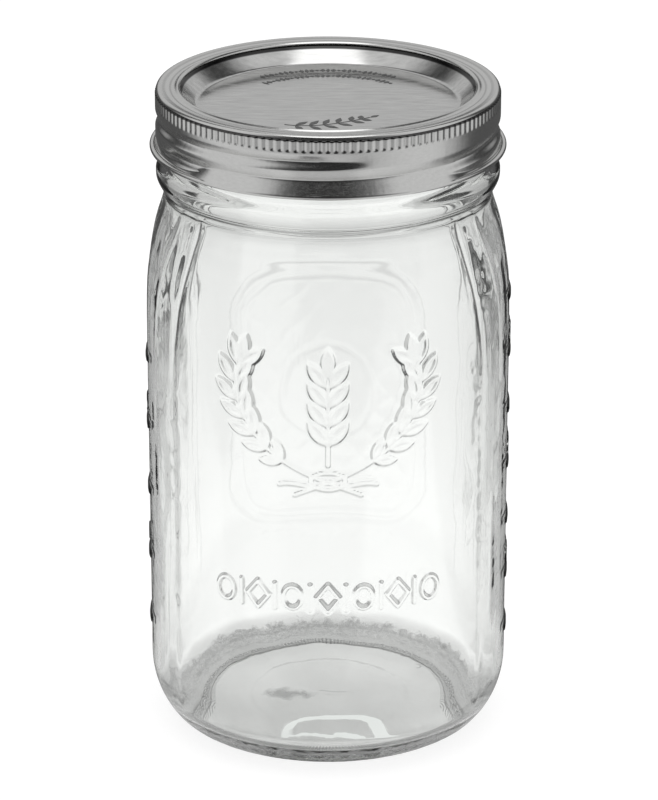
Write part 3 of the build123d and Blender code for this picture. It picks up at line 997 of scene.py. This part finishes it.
dif.inputs["Color"].default_value = (0.22, 0.22, 0.22, 1.0)
add = node(ft, "ShaderNodeAddShader")
ft.links.new(em.outputs[0], add.inputs[0])
ft.links.new(dif.outputs[0], add.inputs[1])
pick = node(ft, "ShaderNodeMixShader")
ft.links.new(f_glossy.max(f_trans).sock, pick.inputs[0])
ft.links.new(add.outputs[0], pick.inputs[1])
ft.links.new(em.outputs[0], pick.inputs[2])
fo_ = node(ft, "ShaderNodeOutputMaterial")
ft.links.new(pick.outputs[0], fo_.inputs[0])
floor.data.materials.append(fm)


def area(name, loc, look, sx, sy, power):
    """Soft light on the floor. It isn't seen itself; the room shader carries its image."""
    ld = bpy.data.lights.new(name, "AREA")
    ld.shape = "RECTANGLE"
    ld.size, ld.size_y = sx, sy
    ld.energy = power
    lo = bpy.data.objects.new(name, ld)
    scene.collection.objects.link(lo)
    lo.location = loc
    d = Vector(look) - Vector(loc)
    lo.rotation_euler = d.to_track_quat("-Z", "Y").to_euler()
    lo.visible_camera = False
    lo.visible_glossy = False
    lo.visible_transmission = False
    return lo


area("overhead", (0.0, -0.10, 1.30), (0.0, 0.0, 0.1), 1.3, 1.1, 7.0)


# =====================================================================
# materials
# =====================================================================
def principled(name):
    m = bpy.data.materials.new(name)
    m.use_nodes = True
    t = m.node_tree
    return m, t, t.nodes["Principled BSDF"], t.nodes["Material Output"]


def glass_material():
    m, t, p, out = principled("clear_glass")
    p.inputs["Base Color"].default_value = (0.985, 0.992, 0.985, 1.0)
    p.inputs["Transmission Weight"].default_value = 1.0
    p.inputs["Roughness"].default_value = 0.0
    p.inputs["IOR"].default_value = 1.52
    tcn = node(t, "ShaderNodeTexCoord")
    nz = node(t, "ShaderNodeTexNoise")
    nz.inputs["Scale"].default_value = 160.0
    nz.inputs["Detail"].default_value = 2.0
    t.links.new(tcn.outputs["Object"], nz.inputs["Vector"])
    bump = node(t, "ShaderNodeBump")
    bump.inputs["Strength"].default_value = 0.05
    bump.inputs["Distance"].default_value = 0.0004
    t.links.new(nz.outputs["Fac"], bump.inputs["Height"])
    t.links.new(bump.outputs[0], p.inputs["Normal"])
    # the stippled heel, the bearing ring and the press mark under the base scatter light
    xyz = node(t, "ShaderNodeSeparateXYZ")
    t.links.new(tcn.outputs["Object"], xyz.inputs[0])
    x, y, z = (Sock(t, xyz.outputs[i]) for i in range(3))
    rad = (x * x + y * y).sqrt()
    coarse = node(t, "ShaderNodeTexNoise")
    coarse.inputs["Scale"].default_value = 250.0
    coarse.inputs["Detail"].default_value = 3.0
    t.links.new(tcn.outputs["Object"], coarse.inputs["Vector"])
    cfac = Sock(t, coarse.outputs["Fac"])
    stip = node(t, "ShaderNodeTexNoise")
    stip.inputs["Scale"].default_value = 1000.0
    stip.inputs["Detail"].default_value = 1.0
    t.links.new(tcn.outputs["Object"], stip.inputs["Vector"])
    sfac = Sock(t, stip.outputs["Fac"])
    outer = (rad - (z * 0.933 + 0.036)).ramp(0.0, 0.0008)
    edge = cfac.ramp(0.3, 0.7, 0.0034, 0.0062, "LINEAR") - z
    heel = outer * edge.ramp(-0.0004, 0.0010) * sfac.ramp(0.36, 0.60, 0.36, 0.62)
    ring = z.ramp(0.00045, 0.00055, 1.0, 0.0) * rad.ramp(0.0324, 0.0328) * 0.40
    # fine ticks of the bearing ring, painted dark as shade
    turn = x.atan2(y * -1.0) * (240.0 / (2.0 * math.pi))
    tick = (turn._op("FRACT") - 0.5).abs().ramp(0.17, 0.26, 1.0, 0.0)
    tick = tick * z.ramp(0.0010, 0.0012, 1.0, 0.0) * rad.ramp(0.0309, 0.0311) * rad.ramp(0.0345, 0.0347, 1.0, 0.0) * 0.55
    # the wall of the hollow is frosted like the ring
    step = z.ramp(0.0012, 0.0015, 1.0, 0.0) * rad.ramp(0.0320, 0.0322) * rad.ramp(0.0325, 0.0328, 1.0, 0.0) * 0.72
    # painted shade: a dark line along the mould's crease at the shoulder and faint dark streaks beside it, outside
    # only
    azd = x.atan2(y * -1.0) * (180.0 / math.pi)
    aw = azd.abs()
    aw = aw.min(aw * -1.0 + 180.0)
    outside = rad - (z.ramp(0.112, 0.130, 0.0468, 0.0458, "LINEAR") + z.ramp(0.130, 0.148, 0.0, -0.0049, "LINEAR"))
    outside = outside.ramp(0.0, 0.0003)
    c_line = z.ramp(0.112, 0.1295, 54.2, 51.0, "LINEAR") + z.ramp(0.1295, 0.1430, 0.0, -3.0, "LINEAR")
    line = ((aw - c_line).abs() * 0.82).ramp(0.18, 0.62, 1.0, 0.0)
    line = line * z.ramp(0.100, 0.120, 0.08, 0.78) * z.ramp(0.1465, 0.1482, 1.0, 0.0) * z.ramp(0.022, 0.034)
    shade_streak_noise = node(t, "ShaderNodeTexNoise")
    shade_streak_noise.inputs["Scale"].default_value = 1.0
    shade_streak_noise.inputs["Detail"].default_value = 2.0
    fxyz = node(t, "ShaderNodeCombineXYZ")
    t.links.new((azd * 0.55).sock, fxyz.inputs[0])
    t.links.new((z * 30.0).sock, fxyz.inputs[1])
    t.links.new(fxyz.outputs[0], shade_streak_noise.inputs["Vector"])
    streak = Sock(t, shade_streak_noise.outputs["Fac"]).ramp(0.53, 0.68) * aw.ramp(53.0, 58.0) * aw.ramp(80.0, 88.0, 1.0, 0.0)
    streak = streak * z.ramp(0.02, 0.04) * z.ramp(0.143, 0.148, 1.0, 0.0) * z.ramp(0.100, 0.125, 0.16, 0.34)
    painted_crease_shade = line.max(streak) * outside
    mx, my = (x + 0.0115) / 0.0072, (y + 0.0010) / 0.0036
    mark = ((mx * mx + my * my).sqrt() + cfac.ramp(0.3, 0.7, -0.35, 0.35, "LINEAR")).ramp(0.35, 1.10, 1.0, 0.0)
    mark = mark * z.ramp(0.0022, 0.0030, 1.0, 0.0) * 0.62
    low = z.ramp(0.0022, 0.0030, 1.0, 0.0)
    hx, hy = x - 0.0247, y - 0.0163
    hook = ((hx * hx + hy * hy).sqrt() - 0.0012).abs().ramp(0.00018, 0.00034, 1.0, 0.0) * hx.ramp(-0.0004, 0.0002)
    dash = (y - 0.0165 + (x + 0.030) * 0.5).abs().ramp(0.00015, 0.00032, 1.0, 0.0) * ((x + 0.0295).abs().ramp(0.0012, 0.0016, 1.0, 0.0))
    nick = (y - 0.0008 + x * 0.14).abs().ramp(0.00010, 0.00030, 1.0, 0.0) * ((x - 0.001).abs().ramp(0.0030, 0.0042, 1.0, 0.0))
    mark = mark.max((hook.max(dash) * 0.42).max(nick * 0.30) * low)

    def scatter(tone, back=None):
        a = node(t, "ShaderNodeBsdfTranslucent")
        a.inputs["Color"].default_value = (tone, tone, tone, 1.0)
        b = node(t, "ShaderNodeBsdfDiffuse")
        b.inputs["Color"].default_value = (tone, tone, tone, 1.0)
        if back is not None:
            grey = node(t, "ShaderNodeCombineXYZ")
            # painted shade: the scatter tone darkens from the front towards the back
            back_shaded_tone = y.ramp(-0.012, 0.016, tone, back)
            for i in range(3):
                t.links.new(back_shaded_tone.sock, grey.inputs[i])
            t.links.new(grey.outputs[0], a.inputs["Color"])
            t.links.new(grey.outputs[0], b.inputs["Color"])
        m_ = node(t, "ShaderNodeMixShader")
        m_.inputs[0].default_value = 0.35
        t.links.new(a.outputs[0], m_.inputs[1])
        t.links.new(b.outputs[0], m_.inputs[2])
        return m_

    first = node(t, "ShaderNodeMixShader")
    t.links.new(mark.sock, first.inputs[0])
    t.links.new(p.outputs[0], first.inputs[1])
    t.links.new(scatter(0.34).outputs[0], first.inputs[2])
    # the heel, ring and hollow wall scatter; their tone is painted darker towards the back as shade
    second = node(t, "ShaderNodeMixShader")
    t.links.new(heel.max(ring).max(step).sock, second.inputs[0])
    t.links.new(first.outputs[0], second.inputs[1])
    t.links.new(scatter(0.84, 0.60).outputs[0], second.inputs[2])
    # painted shade: the ticks, the crease line and the streaks mix towards a dark scatter
    third = node(t, "ShaderNodeMixShader")
    t.links.new(tick.max(painted_crease_shade).sock, third.inputs[0])
    t.links.new(second.outputs[0], third.inputs[1])
    t.links.new(scatter(0.12).outputs[0], third.inputs[2])
    # light that the front heel gathers on the inner floor
    wob = cfac.ramp(0.3, 0.7, -0.07, 0.07, "LINEAR")
    fwd = y * -1.0
    lens = fwd.ramp(0.0077, 0.0169, 0.0, 15.0, "LINEAR") + fwd.ramp(0.0169, 0.0186, 0.0, 4.0, "LINEAR")
    lens = lens + fwd.ramp(0.0186, 0.0207, 0.0, 9.0, "LINEAR") + fwd.ramp(0.0207, 0.0213, 0.0, 5.0, "LINEAR")
    lens = lens + fwd.ramp(0.0213, 0.0220, 0.0, 4.8, "LINEAR") + fwd.ramp(0.0220, 0.0250, 0.0, 4.2, "LINEAR")
    lens = lens + fwd.ramp(0.0250, 0.0360, 0.0, 6.0, "LINEAR")
    v_in, v_out = (lens - 26.6) / 6.4, (lens - 26.0) / 11.0
    u_in, u_out = (x - 0.0012) / 0.0110, (x - 0.0033) / 0.0150
    d_in = (u_in * u_in + v_in * v_in).sqrt() + wob
    d_out = (u_out * u_out + v_out * v_out).sqrt() + wob * 0.7
    gathered = d_in.ramp(0.95, 1.04) * d_out.ramp(0.97, 1.04, 1.0, 0.0)
    gathered = gathered * z.ramp(0.0041, 0.0043) * z.ramp(0.0049, 0.0052, 1.0, 0.0) * 0.92
    glow = node(t, "ShaderNodeEmission")
    glow.inputs["Color"].default_value = (0.97, 1.0, 0.98, 1.0)
    glow.inputs["Strength"].default_value = 0.87
    fourth = node(t, "ShaderNodeMixShader")
    t.links.new(gathered.sock, fourth.inputs[0])
    t.links.new(third.outputs[0], fourth.inputs[1])
    t.links.new(glow.outputs[0], fourth.inputs[2])
    t.links.new(fourth.outputs[0], out.inputs["Surface"])
    va = node(t, "ShaderNodeVolumeAbsorption")
    va.inputs["Color"].default_value = (0.60, 0.61, 0.575, 1.0)
    va.inputs["Density"].default_value = 22.0
    t.links.new(va.outputs[0], out.inputs["Volume"])
    return m


def tin_material(name, base, rough, streak_axis, depth, flutes=False, rim=False, dents=0.25):
    m, t, p, out = principled(name)
    p.inputs["Metallic"].default_value = 1.0
    tcn = node(t, "ShaderNodeTexCoord")
    mp = node(t, "ShaderNodeMapping")
    mp.inputs["Scale"].default_value = streak_axis
    t.links.new(tcn.outputs["Object"], mp.inputs["Vector"])
    fine = node(t, "ShaderNodeTexNoise")
    fine.inputs["Scale"].default_value = 1.0
    fine.inputs["Detail"].default_value = 3.0
    t.links.new(mp.outputs[0], fine.inputs["Vector"])
    fac = Sock(t, fine.outputs["Fac"])
    tone = fac.ramp(0.30, 0.70, 1.0 - depth, 1.0, "LINEAR")
    if flutes:
        xyz = node(t, "ShaderNodeSeparateXYZ")
        t.links.new(tcn.outputs["Object"], xyz.inputs[0])
        x, y, z = (Sock(t, xyz.outputs[i]) for i in range(3))
        # painted shade: the gaps between the flutes are darkened, most at their upper and lower ends
        turn = x.atan2(y * -1.0) * (140.0 / (2.0 * math.pi))
        gap = (turn._op("FRACT") - 0.5).abs() * 2.0
        gap = gap.ramp(0.62, 1.0)
        grip = z.ramp(0.17045, 0.17075) * z.ramp(0.1738, 0.1736, 0.0, 1.0)
        ends = (z.ramp(0.1708, 0.1716, 1.0, 0.0) + z.ramp(0.1728, 0.1735)).min(1.0)
        dark = gap * grip * (ends * 0.26 + 0.13)
        # painted shade: a dark band in the crevice under the flange, over the tops of the flutes
        crease = z.ramp(0.17330, 0.17352) * z.ramp(0.17404, 0.17420, 1.0, 0.0)
        tone = tone * (1.0 - dark) * (1.0 - crease * 0.86)
        # painted reflection: darker and lighter concentric rings on the flat top of the band
        rad = (x * x + y * y).sqrt()
        top = z.ramp(0.17430, 0.17445)
        painted_flange_reflections = (rad - 0.04045).abs().ramp(0.00010, 0.00040, 0.26, 0.0)
        painted_flange_reflections = painted_flange_reflections + (rad - 0.04215).abs().ramp(0.00015, 0.00055, 0.20, 0.0)
        painted_flange_reflections = painted_flange_reflections - (rad - 0.04125).abs().ramp(0.00010, 0.00045, 0.12, 0.0)
        tone = tone * (1.0 - painted_flange_reflections * top)
    if rim:
        # painted shade: the disc is darkened in the narrow gap under the hem of the band
        xyz = node(t, "ShaderNodeSeparateXYZ")
        t.links.new(tcn.outputs["Object"], xyz.inputs[0])
        x, y = Sock(t, xyz.outputs[0]), Sock(t, xyz.outputs[1])
        rad = (x * x + y * y).sqrt()
        tone = tone * (1.0 - rad.ramp(0.03720, 0.03752) * 0.92)
    col = node(t, "ShaderNodeMixRGB")
    col.inputs["Color1"].default_value = (0.0, 0.0, 0.0, 1.0)
    col.inputs["Color2"].default_value = (*base, 1.0)
    t.links.new(tone.sock, col.inputs["Fac"])
    t.links.new(col.outputs[0], p.inputs["Base Color"])
    rr = fac.ramp(0.3, 0.7, rough * 0.85, rough * 1.2, "LINEAR")
    t.links.new(rr.sock, p.inputs["Roughness"])
    bump = node(t, "ShaderNodeBump")
    bump.inputs["Strength"].default_value = dents
    bump.inputs["Distance"].default_value = 0.00003
    t.links.new(fine.outputs["Fac"], bump.inputs["Height"])
    t.links.new(bump.outputs[0], p.inputs["Normal"])
    return m


glass.data.materials.append(glass_material())
band.data.materials.append(tin_material("band_tinplate_satin", (0.80, 0.80, 0.79), 0.165, (900.0, 900.0, 2600.0), 0.07, True, False, 0.10))
disc.data.materials.append(tin_material("disc_tinplate_rolled", (0.80, 0.80, 0.79), 0.15, (150.0, 800.0, 800.0), 0.18, False, True, 0.25))

ink, itree, ip, _ = principled("print_dark_grey")
ip.inputs["Base Color"].default_value = (0.04, 0.04, 0.04, 1.0)
ip.inputs["Metallic"].default_value = 0.0
ip.inputs["Roughness"].default_value = 0.42
itc = node(itree, "ShaderNodeTexCoord")
inz = node(itree, "ShaderNodeTexNoise")
inz.inputs["Scale"].default_value = 1400.0
itree.links.new(itc.outputs["Object"], inz.inputs["Vector"])
icol = node(itree, "ShaderNodeMixRGB")
icol.inputs["Color1"].default_value = (0.03, 0.03, 0.03, 1.0)
icol.inputs["Color2"].default_value = (0.085, 0.085, 0.085, 1.0)
itree.links.new(inz.outputs["Fac"], icol.inputs["Fac"])
itree.links.new(icol.outputs[0], ip.inputs["Base Color"])
disc_print.data.materials.append(ink)

seal = frame["nodes"]["seal_ring"] if isinstance(frame["nodes"], dict) else None
sm, stree, sp, _ = principled("seal_compound_grey")
sp.inputs["Base Color"].default_value = (0.34, 0.33, 0.31, 1.0)
sp.inputs["Roughness"].default_value = 0.55
sn = node(stree, "ShaderNodeTexNoise")
sn.inputs["Scale"].default_value = 900.0
stc = node(stree, "ShaderNodeTexCoord")
stree.links.new(stc.outputs["Object"], sn.inputs["Vector"])
sb = node(stree, "ShaderNodeBump")
sb.inputs["Strength"].default_value = 0.3
sb.inputs["Distance"].default_value = 0.0001
stree.links.new(sn.outputs["Fac"], sb.inputs["Height"])
stree.links.new(sb.outputs[0], sp.inputs["Normal"])
if seal is not None:
    seal.data.materials.clear()
    seal.data.materials.append(sm)
